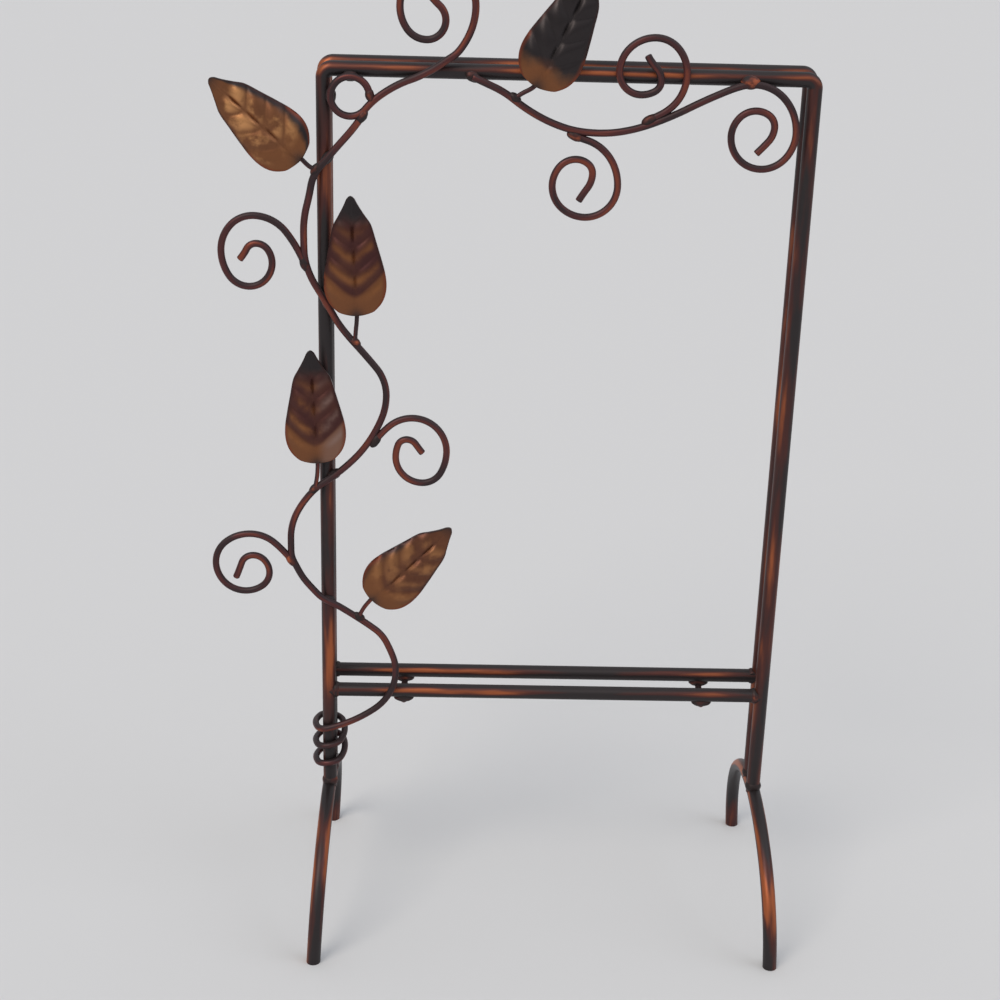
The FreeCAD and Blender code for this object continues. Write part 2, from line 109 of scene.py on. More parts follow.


# The lacquer is satin, between paint and metal: near black where it is whole, brown where it is thin, and
# a slightly glossier rust where it was rubbed through, in soft streaks along the stock. It also carries
# painted light: faces at one slope are pushed towards rust as a painted highlight, and faces turned away
# from that slope towards black as painted shade. Its own grain is finer than a tenth of a millimetre,
# and is drawn coarser than that so that it shows.
def lacquered_steel(name, black_and_shade, brown, rust_and_highlight, streak, patch, painted_highlight_slope, painted_shade_falloff, wear, roughness):
    """Steel under lacquer that was rubbed back along the stock, with a painted highlight on faces at one
    slope and painted shade away from it.
    """
    finish = bpy.data.materials.new(name)
    finish.use_nodes = True
    tree = finish.node_tree
    shader = tree.nodes["Principled BSDF"]
    shader.inputs["Metallic"].default_value = lacquer_metallic
    place = add(tree, "ShaderNodeTexCoord")
    run = add(tree, "ShaderNodeAttribute", attribute_name="run")
    along = add(tree, "ShaderNodeMath", {0: run.outputs["Fac"], 1: 1 / streak}, operation="MULTIPLY")
    around = add(
        tree, "ShaderNodeVectorMath", {0: place.outputs["Normal"], "Scale": rub_round}, operation="SCALE"
    )
    spread = add(
        tree, "ShaderNodeVectorMath", {0: place.outputs["Object"], "Scale": 1 / patch}, operation="SCALE"
    )
    rub_place = add(tree, "ShaderNodeVectorMath", {0: around.outputs[0], 1: spread.outputs[0]})
    rub = add(
        tree, "ShaderNodeTexNoise",
        {
            "Vector": rub_place.outputs[0], "W": along.outputs[0], "Scale": 1.0, "Detail": rub_detail,
            "Roughness": rub_breakup,
        },
        noise_dimensions="4D",
    )
    slope = add(tree, "ShaderNodeSeparateXYZ", {0: place.outputs["Normal"]})
    # Painted highlight and shade: the level falls away from faces at one slope, so it is lighter there and
    # darker beyond.
    off_highlight_slope = add(tree, "ShaderNodeMath", {0: slope.outputs["Z"], 1: painted_highlight_slope}, operation="SUBTRACT")
    off_square = add(
        tree, "ShaderNodeMath", {0: off_highlight_slope.outputs[0], 1: off_highlight_slope.outputs[0]}, operation="MULTIPLY"
    )
    rub_with_painted_light = add(
        tree, "ShaderNodeMath", {0: off_square.outputs[0], 1: -painted_shade_falloff, 2: rub.outputs["Fac"]},
        operation="MULTIPLY_ADD",
    )
    scorch = add(tree, "ShaderNodeAttribute", attribute_name="scorch")
    wear_and_painted_light = add(
        tree, "ShaderNodeMath", {0: scorch.outputs["Fac"], 1: scorch_rub, 2: rub_with_painted_light.outputs[0]},
        operation="MULTIPLY_ADD",
    )
    colour = linear(black_and_shade)
    for coat, begins, full in ((brown, brown_from, brown_full), (rust_and_highlight, rust_and_highlight_from, rust_and_highlight_full)):
        worn = add(
            tree, "ShaderNodeMapRange",
            {"Value": wear_and_painted_light.outputs[0], "From Min": begins - wear, "From Max": full - wear},
            interpolation_type="SMOOTHSTEP",
        )
        mixed = add(
            tree, "ShaderNodeMix", {0: worn.outputs[0], 6: colour, 7: linear(coat)}, data_type="RGBA"
        )
        colour = mixed.outputs[2]
    tree.links.new(colour, shader.inputs["Base Color"])
    gloss = add(
        tree, "ShaderNodeMapRange",
        {"Value": rub.outputs["Fac"], "To Min": roughness + rougher_by, "To Max": roughness - smoother_by},
    )
    tree.links.new(gloss.outputs[0], shader.inputs["Roughness"])
    grain = add(
        tree, "ShaderNodeTexNoise",
        {"Vector": place.outputs["Object"], "Scale": 1 / lacquer_grain, "Detail": lacquer_grain_detail},
    )
    relief = add(
        tree, "ShaderNodeBump",
        {"Strength": lacquer_bump, "Distance": lacquer_depth, "Height": grain.outputs["Fac"]},
    )
    tree.links.new(relief.outputs[0], shader.inputs["Normal"])
    return finish


def arc_points(start, corner, end):
    """Points after start on the arc that touches the lines from corner to both its ends."""
    half_chord = (end - start).length / 2
    weight = half_chord / (corner - start).length
    points = []
    for step in range(1, arc_steps + 1):
        share = step / arc_steps
        first, middle, last = (1 - share) ** 2, 2 * weight * share * (1 - share), share ** 2
        points.append((start * first + corner * middle + end * last) / (first + middle + last))
    return points


def bent(stations):
    """Points along pairs of arcs through stations, each a place and the way that the stock heads there."""
    points = [stations[0][0]]
    for (start, start_way), (end, end_way) in zip(stations, stations[1:]):
        span = end - start
        along = span.dot(start_way + end_way)
        turn = 2 * (1 - start_way.dot(end_way))
        if turn < least_turn:
            reach = span.dot(span) / (2 * along)
        else:
            reach = (math.sqrt(along * along + turn * span.dot(span)) - along) / turn
        first_corner = start + start_way * reach
        second_corner = end - end_way * reach
        meeting = (first_corner + second_corner) / 2
        points += arc_points(start, first_corner, meeting) + arc_points(meeting, second_corner, end)
    return points


def new_tree(name, inputs, output):
    """A tree of Geometry Nodes with named inputs, and the node that hands out what they are given."""
    tree = bpy.data.node_groups.new(name, "GeometryNodeTree")
    for title, kind in inputs.items():
        tree.interface.new_socket(title, in_out="INPUT", socket_type="NodeSocket" + kind)
    tree.interface.new_socket(output, in_out="OUTPUT", socket_type="NodeSocketGeometry")
    return tree, add(tree, "NodeGroupInput")


# The tree that lays round stock along a path, at the thickness that the path's points give.
stock_tree, given = new_tree(
    "round_stock", {"Path": "Geometry", "Radius": "Float", "Sides": "Int", "Finish": "Material"}, "Stock"
)
path_line = add(stock_tree, "GeometryNodeMeshToCurve", {"Mesh": given.outputs["Path"]})
steady = add(stock_tree, "GeometryNodeSetCurveNormal", {"Curve": path_line.outputs[0]}, mode="MINIMUM_TWIST")
outline = add(
    stock_tree, "GeometryNodeCurvePrimitiveCircle",
    {"Radius": given.outputs["Radius"], "Resolution": given.outputs["Sides"]},
)
width = add(stock_tree, "GeometryNodeInputNamedAttribute", {"Name": "width"}, data_type="FLOAT")
stock_skin = add(
    stock_tree, "GeometryNodeCurveToMesh",
    {
        "Curve": steady.outputs[0], "Profile Curve": outline.outputs[0], "Scale": width.outputs[0],
        "Fill Caps": True,
    },
)
stock_whole = add(stock_tree, "GeometryNodeRealizeInstances", {0: stock_skin.outputs[0]})
stock_smooth = add(stock_tree, "GeometryNodeSetShadeSmooth", {"Geometry": stock_whole.outputs[0]})
stock_painted = add(
    stock_tree, "GeometryNodeSetMaterial",
    {"Geometry": stock_smooth.outputs[0], "Material": given.outputs["Finish"]},
)
add(stock_tree, "NodeGroupOutput", {0: stock_painted.outputs[0]})


def face_out(shape, mesh):
    """Ends work on the shape: the mesh takes it with its faces outwards and its creases sharp."""
    bmesh.ops.recalc_face_normals(shape, faces=shape.faces)
    shape.to_mesh(mesh)
    shape.free()
    mesh.set_sharp_from_angle(angle=crease)


def through(carrier, tree, values):
    """The carrier with a plain mesh, as the tree makes it from these values."""
    modifier = carrier.modifiers.new(tree.name, "NODES")
    modifier.node_group = tree
    for item in tree.interface.items_tree:
        if item.name in values:
            modifier[item.identifier] = values[item.name]
    depsgraph = bpy.context.evaluated_depsgraph_get()
    mesh = bpy.data.meshes.new_from_object(carrier.evaluated_get(depsgraph), depsgraph=depsgraph)
    carrier.modifiers.clear()
    carrier.data = mesh
    shape = bmesh.new()
    shape.from_mesh(mesh)
    face_out(shape, mesh)
    return carrier


def stock(name, points, radius, sides, finish, rounded=0.0):
    """Round stock along points. A rounded end narrows over its last stretch of that length."""
    widths = [1.0] * len(points)
    if rounded:
        for end, beside, at in ((0, 1, 1), (-1, -2, -1)):
            reach = points[beside] - points[end]
            inwards = reach * min(tip_length_share, rounded / reach.length)
            points.insert(at, points[end] + inwards)
            widths.insert(at, 1.0)
            widths[end] = tip_width_share
    path = bpy.data.meshes.new(name)
    path.from_pydata(points, [(place, place + 1) for place in range(len(points) - 1)], [])
    runs = [0.0]
    for before, after in zip(points, points[1:]):
        runs.append(runs[-1] + (after - before).length)
    path.attributes.new("run", "FLOAT", "POINT").data.foreach_set("value", runs)
    path.attributes.new("width", "FLOAT", "POINT").data.foreach_set("value", widths)
    carrier = bpy.data.objects.new(name, path)
    bpy.context.scene.collection.objects.link(carrier)
    return through(carrier, stock_tree, {"Radius": radius, "Sides": sides, "Finish": finish})


def seat(piece, slot, *nodes):
    """The piece stands for its nodes and rides with the frame."""
    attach(piece, "root")
    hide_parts(*nodes)


# The rod's painted highlight sits on faces that slope a little up, with strong painted shade on the
# undersides.
rod_finish = lacquered_steel(
    "copper_lacquer_worn_back_and_painted_light_on_rod", black_and_shade="#332e2f", brown="#512e2a", rust_and_highlight="#a55a35", streak=34 * mm,
    patch=60 * mm, painted_highlight_slope=0.35, painted_shade_falloff=0.95, wear=0.07, roughness=0.42,
)
shoulder = crown_z - leg_straight
side_radius = (2 * shoulder * crown_radius - foot_y**2 - shoulder**2) / (2 * (crown_radius - foot_y))
side_middle = foot_y - side_radius
join = math.atan2(leg_straight + crown_radius - crown_z, side_middle)
join_y = side_middle + side_radius * math.cos(join)
join_z = leg_straight + side_radius * math.sin(join)
leg_stations = [
    (Vector((0, -foot_y, -overrun)), up),
    (Vector((0, -foot_y, leg_straight)), up),
    (Vector((0, -join_y, join_z)), Vector((0, math.sin(join), math.cos(join)))),
    (Vector((0, 0, crown_z)), to_back),
    (Vector((0, join_y, join_z)), Vector((0, math.sin(join), -math.cos(join)))),
    (Vector((0, foot_y, leg_straight)), down),
    (Vector((0, foot_y, -overrun)), down),
]
crown = Vector((0, 0, crown_z))
for side, name in ((-1, "left"), (1, "right")):
    lean = Matrix.Rotation(-side * leg_lean, 3, "Y")
    leg_top = crown + to_right * side * rear_post_x
    leg_points = [leg_top + lean @ (point - crown) for point in bent(leg_stations)]
    leg = stock(name + "_leg_rod", leg_points, rod_radius, rod_sides, rod_finish)
    shape = bmesh.new()
    shape.from_mesh(leg.data)
    everything = shape.verts[:] + shape.edges[:] + shape.faces[:]
    bmesh.ops.bisect_plane(shape, geom=everything, plane_co=(0, 0, 0), plane_no=up, clear_inner=True)
    bmesh.ops.holes_fill(shape, edges=shape.edges)
    face_out(shape, leg.data)
    seat(leg, "bronzed_rod", name + "_leg_arch")


# Hoops: one rod each, bent down at both top corners. They stand on the crowns of the legs, the front one
# and a slightly larger rear one, with room between them for two panes and a picture.

corner_bend = 2.3 * mm
for name, low, high in (("front", front_low, front_high), ("rear", rear_low, rear_high)):
    post_x = high.x - rod_radius
    hoop_y = (low.y + high.y) / 2
    top_z = high.z - rod_radius
    hoop_stations = [
        (Vector((-post_x, hoop_y, low.z)), up),
        (Vector((-post_x, hoop_y, top_z - corner_bend)), up),
        (Vector((-post_x + corner_bend, hoop_y, top_z)), to_right),
        (Vector((post_x - corner_bend, hoop_y, top_z)), to_right),
        (Vector((post_x, hoop_y, top_z - corner_bend)), down),
        (Vector((post_x, hoop_y, low.z)), down),
    ]
    hoop = stock(name + "_hoop_rod", bent(hoop_stations), rod_radius, rod_sides, rod_finish)
    seat(hoop, "bronzed_rod", name + "_hoop")


# Ledge bars: a straight length of the same rod across each hoop, between its posts. Their ends are coped
# to fit round the posts and welded there. They keep the foot of the panes between the hoops.

ledge_ends = {}
for name, high in (("front", front_high), ("rear", rear_high)):
    bar_low, bar_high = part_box(name + "_ledge_bar")
    bar_y = (bar_low.y + bar_high.y) / 2
    bar_z = (bar_low.z + bar_high.z) / 2
    post_x = high.x - rod_radius
    ledge_ends[name] = Vector((post_x, bar_y, bar_z))
    bar_stations = [(Vector((-post_x, bar_y, bar_z)), to_right), (Vector((post_x, bar_y, bar_z)), to_right)]
    bar = stock(name + "_ledge_rod", bent(bar_stations), rod_radius, rod_sides, rod_finish)
    seat(bar, "bronzed_rod", name + "_ledge_bar")


# Cross links: two short wires welded under both ledge bars, on which the panes stand. Like all the
# wire they have the same lacquer as the rod, redder and more even, which was hardly rubbed through. Its
# weaker painted light makes faces tipped a little down redder and the tops darker, as painted shade.

link_low, link_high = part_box("left_cross_link")
wire_radius = (link_high.x - link_low.x) / 2
weld_seam = 0.1 * mm
wire_sides = 20
# Painted light on the wire: a highlight on faces tipped a little down, and painted shade on the tops.
wire_finish = lacquered_steel(
    "copper_lacquer_worn_back_and_painted_light_on_wire", black_and_shade="#3a2c2e", brown="#573030", rust_and_highlight="#7f402f", streak=16 * mm,
    patch=30 * mm, painted_highlight_slope=-0.2, painted_shade_falloff=0.16, wear=0.01, roughness=0.46,
)
link_end = 0.4 * mm
link_tip = 0.3 * mm
link_way = ledge_ends["rear"] - ledge_ends["front"]
link_way.x = 0
link_way.normalize()
link_drop = down * ((rod_radius + weld_seam + wire_radius) / link_way.y)
link_seats = []
for name in ("left", "right"):
    link_low, link_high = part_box(name + "_cross_link")
    link_x = (link_low.x + link_high.x) / 2
    ends = []
    for hoop_name in ("front", "rear"):
        ledge_end = ledge_ends[hoop_name]
        ends.append(Vector((link_x, ledge_end.y, ledge_end.z)) + link_drop)
    link_stations = [(ends[0] - link_way * link_end, link_way), (ends[1] + link_way * link_end, link_way)]
    link = stock(
        name + "_cross_link_wire", bent(link_stations), wire_radius, wire_sides, wire_finish, link_tip
    )
    seat(link, "bronzed_wire", name + "_cross_link")
    link_seats += [end + up * wire_radius for end in ends]


# Frame welds: lumps of run metal round the foot of each post, at both ends of each ledge bar and where
# the links meet the bars. They were left rough, so their lacquer is mottled from near black to rust and
# a little duller than the rod's, with a faint painted highlight on faces turned nearly sideways and
# painted shade on the rest. The lumps beside the panes were filed flat to leave them room.

weld_rough = 0.30 * mm
weld_grain = 1.3 * mm
weld_grain_detail = 2.0
lump_levels = 4
noise_middle = 0.5
unscorched = 0.0
# Painted light on the welds: a faint highlight on faces turned nearly sideways, and painted shade elsewhere.
weld_finish = lacquered_steel(
    "weld_metal_lacquer_and_painted_light", black_and_shade="#332a2a", brown="#4e2d2a", rust_and_highlight="#a95b3d", streak=9 * mm,
    patch=8 * mm, painted_highlight_slope=0.1, painted_shade_falloff=0.2, wear=-0.07, roughness=0.5,
)

# The tree that puts a rough lump on each seat, as long and broad as the seat says and in its heading.
lump_tree, asked = new_tree(
    "weld_lumps", {"Seats": "Geometry", "Roughness": "Float", "Grain": "Float", "Finish": "Material"}, "Lumps"
)
drop_shape = add(lump_tree, "GeometryNodeMeshIcoSphere", {"Radius": 1.0, "Subdivisions": lump_levels})
heading = add(lump_tree, "GeometryNodeInputNamedAttribute", {"Name": "heading"}, data_type="FLOAT_VECTOR")
extent = add(lump_tree, "GeometryNodeInputNamedAttribute", {"Name": "extent"}, data_type="FLOAT_VECTOR")
facing = add(lump_tree, "FunctionNodeAlignRotationToVector", {"Vector": heading.outputs[0]}, axis="Z")
laid = add(
    lump_tree, "GeometryNodeInstanceOnPoints",
    {
        "Points": asked.outputs["Seats"], "Instance": drop_shape.outputs[0], "Rotation": facing.outputs[0],
        "Scale": extent.outputs[0],
    },
)
lumps_whole = add(lump_tree, "GeometryNodeRealizeInstances", {0: laid.outputs[0]})
lump_place = add(lump_tree, "GeometryNodeInputPosition")
finer = add(lump_tree, "ShaderNodeMath", {0: 1.0, 1: asked.outputs["Grain"]}, operation="DIVIDE")
ripple = add(
    lump_tree, "ShaderNodeTexNoise",
    {"Vector": lump_place.outputs[0], "Scale": finer.outputs[0], "Detail": weld_grain_detail},
)
about_zero = add(lump_tree, "ShaderNodeMath", {0: ripple.outputs[0], 1: noise_middle}, operation="SUBTRACT")
swell = add(
    lump_tree, "ShaderNodeMath", {0: about_zero.outputs[0], 1: asked.outputs["Roughness"]},
    operation="MULTIPLY",
)
outwards = add(lump_tree, "GeometryNodeInputNormal")
moved = add(
    lump_tree, "ShaderNodeVectorMath", {0: outwards.outputs[0], "Scale": swell.outputs[0]},
    operation="SCALE",
)
rough_lumps = add(
    lump_tree, "GeometryNodeSetPosition", {"Geometry": lumps_whole.outputs[0], "Offset": moved.outputs[0]}
)
lumps_smooth = add(lump_tree, "GeometryNodeSetShadeSmooth", {"Geometry": rough_lumps.outputs[0]})
lumps_painted = add(
    lump_tree, "GeometryNodeSetMaterial",
    {"Geometry": lumps_smooth.outputs[0], "Material": asked.outputs["Finish"]},
)
add(lump_tree, "NodeGroupOutput", {0: lumps_painted.outputs[0]})


def lumps(name, node, rows):
    """Weld lumps in rows of a place, the way that each lies, its length and breadth, and its scorch."""
    places, ways, spans, scorches = zip(*rows)
    seats = bpy.data.meshes.new(name)
    seats.from_pydata(list(places), [], [])
    headings = [value for lie in ways for value in lie]
    extents = [value for length, breadth in spans for value in (breadth / 2, breadth / 2, length / 2)]
    seats.attributes.new("heading", "FLOAT_VECTOR", "POINT").data.foreach_set("vector", headings)
    seats.attributes.new("extent", "FLOAT_VECTOR", "POINT").data.foreach_set("vector", extents)
    seats.attributes.new("scorch", "FLOAT", "POINT").data.foreach_set("value", scorches)
    carrier = bpy.data.objects.new(name, seats)
    bpy.context.scene.collection.objects.link(carrier)
    made = through(carrier, lump_tree, {"Roughness": weld_rough, "Grain": weld_grain, "Finish": weld_finish})
    seat(made, "weld_metal", node)
    return made


post_lump = (4.6 * mm, 4.7 * mm)
bar_lump = (3.4 * mm, 4.7 * mm)
link_lump = (5.8 * mm, 2.8 * mm)
pane_room = 2.45 * mm
frame_rows = []
for name, high in (("front", front_high), ("rear", rear_high)):
    post_x = high.x - rod_radius
    bar_end = ledge_ends[name]
    for side in (-1, 1):
        post_foot = Vector((side * post_x, bar_end.y, crown_z + rod_radius))
        bar_joint = Vector((side * (post_x - rod_radius), bar_end.y, bar_end.z))
        frame_rows.append((post_foot, up, post_lump, unscorched))
        frame_rows.append((bar_joint, to_right, bar_lump, unscorched))
frame_rows += [(place, to_right, link_lump, unscorched) for place in link_seats]
frame_lumps = lumps("frame_weld_lumps", "frame_weld_beads", frame_rows)
for corner in frame_lumps.data.vertices:
    if abs(corner.co.y) < pane_room and corner.co.z > link_seats[0].z + wire_radius:
        corner.co.y = math.copysign(pane_room, corner.co.y)


# Top scroll: one wire, curled at one end to the ring in the corner, which is welded to the post and the
# top rod, and at the other to a scroll that stands above the top rod. A scroll's rows give its places
# beside and above the joint, as shares of one height, and its headings in degrees up from +X.

front_post_x = front_high.x - rod_radius
front_top_z = front_high.z - rod_radius
vine_y = front_low.y - weld_seam - wire_radius
ring_radius = 5 * mm
ring_side_gap = 7.0 * mm
ring_drop = 6.6 * mm
ring_start = 15
ring_turn = 305
ring_steps = 4
scroll_height = 20 * mm
wire_tip = 0.35 * mm
top_scroll_shares = [
    (0.6125, 0.16, 27), (0.9175, 0.29, 26), (1.1725, 0.44, 36), (1.3975, 0.615, 52), (1.5875, 1.145, 90),
    (1.1025, 1.63, 180), (0.6325, 1.135, -90), (0.9725, 0.73, 0), (1.2125, 0.97, 90), (0.9825, 1.31, 128),
]


def way(degrees):
    """The direction that heads degrees up from +X, in a plane across Y."""
    turn = math.radians(degrees)
    return Vector((math.cos(turn), 0, math.sin(turn)))


def scroll_stations(origin, rows_shares):
    """Stations of a scroll from its rows of places beside and above its origin, and headings."""
    stations = []
    for right, above, heading_degrees in rows_shares:
        stations.append((origin + Vector((right, 0, above)) * scroll_height, way(heading_degrees)))
    return stations


ring_centre = Vector((-front_post_x + ring_side_gap, vine_y, front_top_z - ring_drop))
ring_stations = []
for step in range(ring_steps + 1):
    turned_to = ring_start + ring_turn * step / ring_steps
    ring_stations.append((ring_centre + way(turned_to) * ring_radius, way(turned_to + 90)))
top_scroll_points = bent(ring_stations + scroll_stations(ring_centre, top_scroll_shares))
top_scroll = stock("top_scroll_wire", top_scroll_points, wire_radius, wire_sides, wire_finish, wire_tip)
seat(top_scroll, "bronzed_wire", "top_scroll")


# Vine stem: one wire, wound two and a half times round both left posts at its foot, then swung from side
# to side of the post and welded to it wherever it crosses. Its rows give its places as shares of its
# swing and rise, and its headings. The coil's rows give its side of the posts and its way there.

vine_post_x = -(front_post_x + rear_post_x) / 2
vine_start_z = 58.4 * mm
vine_rise = 178.6 * mm
vine_swing = 19.6 * mm
stem_rows_shares = {
    "start": (0.0, 0.0, 15), "low_swing": (1.0, 0.106, 90), "low_turn": (0.862, 0.1573, 116),
    "low_leaf": (0.457, 0.199, 146), "low_post": (0.03, 0.2275, 155), "low_rise": (-0.281, 0.2592, 129),
    "low_scroll": (-0.468, 0.295, 115), "left_swing": (-0.508, 0.335, 90),
    "middle_leaf": (-0.17, 0.4165, 46), "middle_post": (0.12, 0.4415, 38),
    "middle_scroll": (0.625, 0.501, 58), "right_swing": (0.85, 0.573, 90),
    "upper_leaf": (0.42, 0.6535, 132), "upper_turn": (0.24, 0.6775, 127), "upper_post": (0.05, 0.712, 120),
    "upper_scroll": (-0.225, 0.77, 107), "upper_swing": (-0.265, 0.822, 90),
    "upper_rise": (-0.215, 0.863, 75), "corner_leaf": (-0.0714, 0.9138, 56),
    "corner_post": (0.06, 0.931, 50), "end": (0.52, 0.9922, 56),
}
coil_half_width = 4.25 * mm
coil_pitch = 5.8 * mm
coil_quarter_turns = 10
stem_stations = {}
for name, (across, above, heading_degrees) in stem_rows_shares.items():
    stem_place = Vector((vine_post_x + across * vine_swing, vine_y, vine_start_z + above * vine_rise))
    stem_stations[name] = (stem_place, way(heading_degrees))
stem_start, stem_start_way = stem_stations["start"]
coil_rows = [(0, -1, -1, 0), (-1, 0, 0, 1), (0, 1, 1, 0), (1, 0, 0, -1)]
turn_quarters = len(coil_rows)
coil_fall = coil_pitch / (turn_quarters * math.hypot(coil_half_width, vine_y))
coil_stations = [(stem_start, -stem_start_way)]
for quarter in range(1, coil_quarter_turns + 1):
    right, back, right_way, back_way = coil_rows[quarter % turn_quarters]
    drop = coil_pitch * quarter / turn_quarters
    coil_place = stem_start + Vector((right * coil_half_width, (back + 1) * -vine_y, -drop))
    coil_stations.append((coil_place, Vector((right_way, back_way, -coil_fall)).normalized()))
stem_points = bent(coil_stations)[::-1] + bent(list(stem_stations.values()))[1:]
stem = stock("vine_stem_wire", stem_points, wire_radius, wire_sides, wire_finish, wire_tip)
seat(stem, "bronzed_wire", "vine_stem")


# Branch: one wire, welded to the top rod at both of its high places. It sags under the rod between them
# and ends in a curl beside the right post. Its rows are shares of the post's distance and of its drop.

branch_drop = 14.4 * mm
branch_rows_shares = {
    "start": (-0.395, 0.07, -23), "top_leaf": (-0.228, 0.44, -37), "drop_scroll": (-0.02, 0.915, -17),
    "low": (0.125, 1.0, 0), "rise_scroll": (0.325, 0.835, 20), "top": (0.64, 0.2, 23),
    "crest": (0.745, 0.085, 0),
}
branch_curl_shares = [
    (0.585, -0.62, -90), (0.16, -1.075, 180), (-0.255, -0.66, 90), (0.05, -0.33, 0), (0.3, -0.535, -90),
    (0.085, -0.88, -134),
]
branch_stations = {}
for name, (across, below, heading_degrees) in branch_rows_shares.items():
    branch_place = Vector((across * front_post_x, vine_y, front_top_z - below * branch_drop))
    branch_stations[name] = (branch_place, way(heading_degrees))
crest, crest_way = branch_stations["crest"]
branch_points = bent(list(branch_stations.values()) + scroll_stations(crest, branch_curl_shares))
branch = stock("top_branch_wire", branch_points, wire_radius, wire_sides, wire_finish, wire_tip)
seat(branch, "bronzed_wire", "top_branch")


# Scrolls: five wires, each welded by one end to the side of the stem or the branch and curled inwards at
# the other. Where the weld was hot the lacquer has browned, and the table gives how much.

scroll_table = [
    ("upper_scroll", 0.0, [
        (-0.015, -0.005, 110), (-0.695, 0.67, 180), (-1.13, 0.195, -90), (-0.77, -0.28, 0),
        (-0.46, 0.045, 90), (-0.665, 0.3, 180), (-0.89, 0.08, -131),
    ]),
    ("middle_scroll", 0.0, [
        (0.0475, -0.05, 58), (0.5825, 0.325, 0), (1.0525, -0.155, -90), (0.7225, -0.615, 180),
        (0.3525, -0.24, 90), (0.5025, 0.015, 0), (0.7225, -0.18, -52),
    ]),
    ("low_scroll", 0.8, [
        (-0.01, -0.01, 125), (-0.605, 0.415, 180), (-1.1, -0.03, -90), (-0.695, -0.455, 0),
        (-0.35, -0.165, 90), (-0.575, 0.09, 180), (-0.825, -0.255, -113),
    ]),
    ("drop_scroll", 0.9, [
        (0.105, -0.09, -20), (0.495, -0.255, -38), (0.73, -0.75, -90), (0.315, -1.16, 180),
        (-0.125, -0.75, 90), (0.175, -0.405, 0), (0.395, -0.59, -90), (0.225, -0.95, -120),
    ]),
    ("rise_scroll", 0.3, [
        (-0.035, 0.04, 30), (0.28, 0.23, 42), (0.4575, 0.64, 90), (0.035, 1.095, 180),
        (-0.41, 0.67, -90), (-0.12, 0.38, 0), (0.13, 0.555, 90), (-0.06, 0.875, 120),
    ]),
]
vine_stations = stem_stations | branch_stations
joint_lump = (4.6 * mm, 2.5 * mm)
knot_rows = []
for name, scorch, rows_shares in scroll_table:
    stations = scroll_stations(vine_stations[name][0], rows_shares)
    scroll = stock(name + "_wire", bent(stations), wire_radius, wire_sides, wire_finish, wire_tip)
    seat(scroll, "bronzed_wire", name)
    scroll_start, scroll_way = stations[0]
    knot_rows.append((scroll_start + scroll_way * wire_radius, scroll_way, joint_lump, scorch))


# Leaves: thin sheet stamped to a pointed outline, domed, grooved along the midrib and raised in two rows
# of pillows that rise from it towards the edges. Each has its own share of gilt over dark lacquer, and
# its tip was left near black. The stalks are thin wire, welded behind the leaf and to the stem.

leaf_length = 32 * mm
leaf_width = 16.6 * mm
leaf_sheet = 0.8 * mm
leaf_dome = 2 * mm
leaf_groove = 0.5 * mm
groove_share = 0.1
leaf_y = vine_y - wire_radius - weld_seam
leaf_rows = 110
leaf_columns = 44
base_round_share = 0.045
tip_round_share = 0.035
round_power = 2.4
least_round_share = 0.2
leaf_place_shares = [0.0, 0.04, 0.12, 0.22, 0.34, 0.48, 0.62, 0.76, 0.84, 0.92, 1.0]
leaf_half_width_shares = [0.3, 0.58, 0.86, 0.99, 0.98, 0.87, 0.74, 0.6, 0.42, 0.24, 0.09]
pillow_pitch = 6.3 * mm
pillow_height = 0.7 * mm
pillow_sink_share = 0.35
pillow_slope = 0.8
pillow_sweep_power = 1.3
pillow_row_power = 2
pillow_side_power = 2.6
pillows_begin_shares = (0.1, 0.26)
pillows_end_shares = (0.74, 0.88)
chevron_middle_share = 0.5
chevron_breadth_share = 0.2
chevron_side_shares = (0.8, 0.97)
chevron_tip_shares = (0.45, 0.9)
chevron_gilt_shares = (0.3, 0.7)
pillow_gilt_shares = (0.2, 0.8)
foot_row_shares = (0.75, 1.0)
weld_mark_length_share = 0.07
weld_mark_width_share = 0.22
stalk_radius = 0.6 * mm
stalk_sides = 14
stalk_lap = 2 * mm
stalk_tip = 0.2 * mm
stalk_y = vine_y - wire_radius + stalk_radius


def between(low, high, value):
    """How far value is from low to high, from 0 to 1, easing in and out."""
    share = min(1, max(0, (value - low) / (high - low)))
    return share * share * (3 - 2 * share)


def half_width_at(along):
    """The leaf's half width as a share, on a smooth line through the shares of the outline."""
    places, widths = leaf_place_shares, leaf_half_width_shares
    last = len(places) - 1
    spot = min(last - 1, sum(place <= along for place in places) - 1)
    slopes = []
    for at in (spot, spot + 1):
        before, after = max(0, at - 1), min(last, at + 1)
        slopes.append((widths[after] - widths[before]) / (places[after] - places[before]))
    step = places[spot + 1] - places[spot]
    share = (along - places[spot]) / step
    eased = share * share * (3 - 2 * share)
    rise = slopes[0] * share * (1 - share) ** 2 - slopes[1] * share * share * (1 - share)
    return widths[spot] * (1 - eased) + widths[spot + 1] * eased + step * rise


